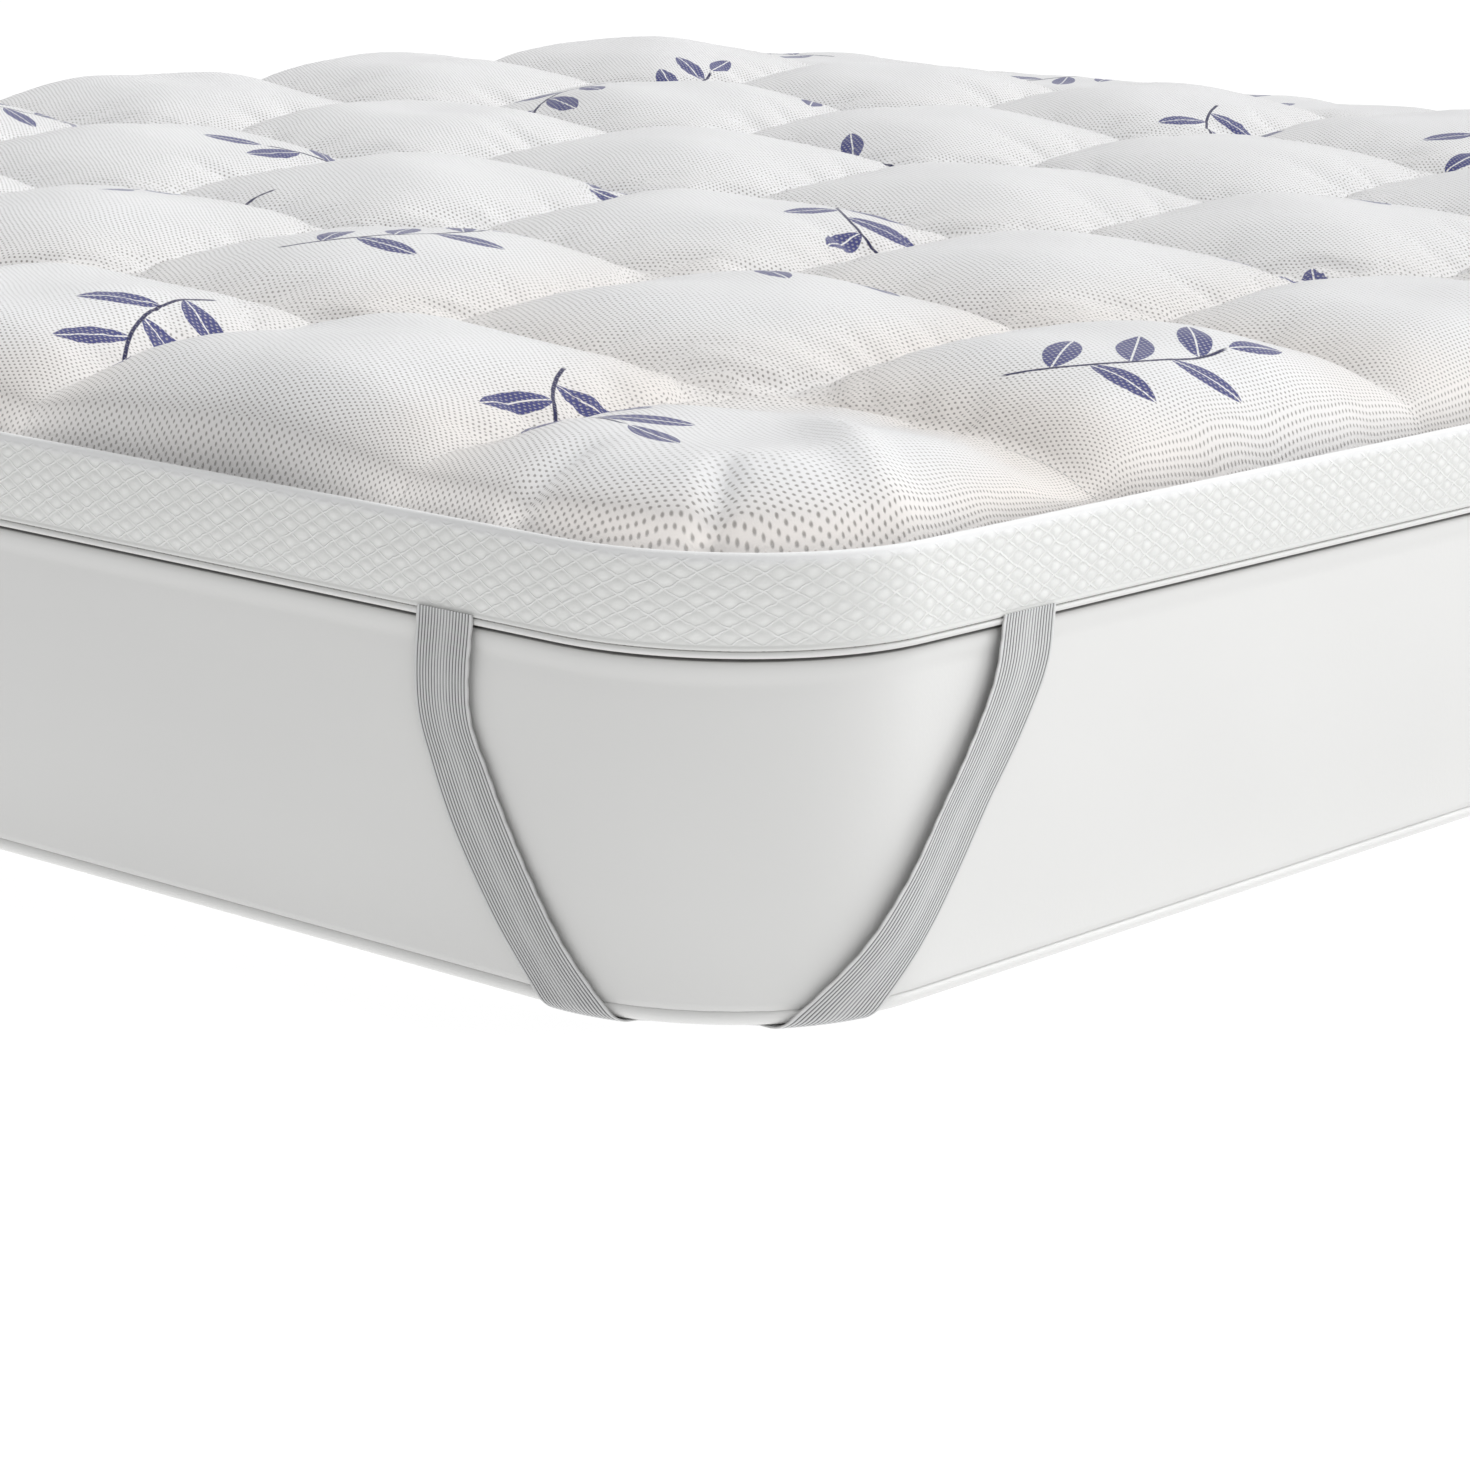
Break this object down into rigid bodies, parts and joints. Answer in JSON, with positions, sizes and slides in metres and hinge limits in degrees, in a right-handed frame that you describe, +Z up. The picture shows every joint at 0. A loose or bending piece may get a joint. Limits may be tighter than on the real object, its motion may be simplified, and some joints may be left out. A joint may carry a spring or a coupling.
{
  "type": "mattress topper with mattress",
  "caption": "Quilted, filled mattress topper with a border band, strapped by elastic loops under the corners of a plain mattress.",
  "frame": {"origin": "on the floor under the middle of the mattress", "axes": "+X across the bed, +Y along it from foot to head, +Z up"},
  "size_m": [1.611, 1.911, 0.2875],
  "materials": {
    "mesh_knit": "white perforated knit with rows of fine holes and a scattered dark blue leaf print",
    "spacer_cloth": "pale grey-green spacer cloth with a raised scale net",
    "piping_cloth": "smooth white piping",
    "elastic": "grey elastic with lengthwise ribs",
    "ticking": "plain white satin ticking",
    "tape_cloth": "white rolled edge tape"
  },
  "bodies": {
    "root": {"quilted_pad": "mesh_knit", "border_band": "spacer_cloth", "lower_piping": "piping_cloth", "strap_foot_right": "elastic", "strap_foot_left": "elastic", "strap_head_right": "elastic", "strap_head_left": "elastic", "mattress": "ticking", "mattress_tape": "tape_cloth"}
  },
  "joints": []
}
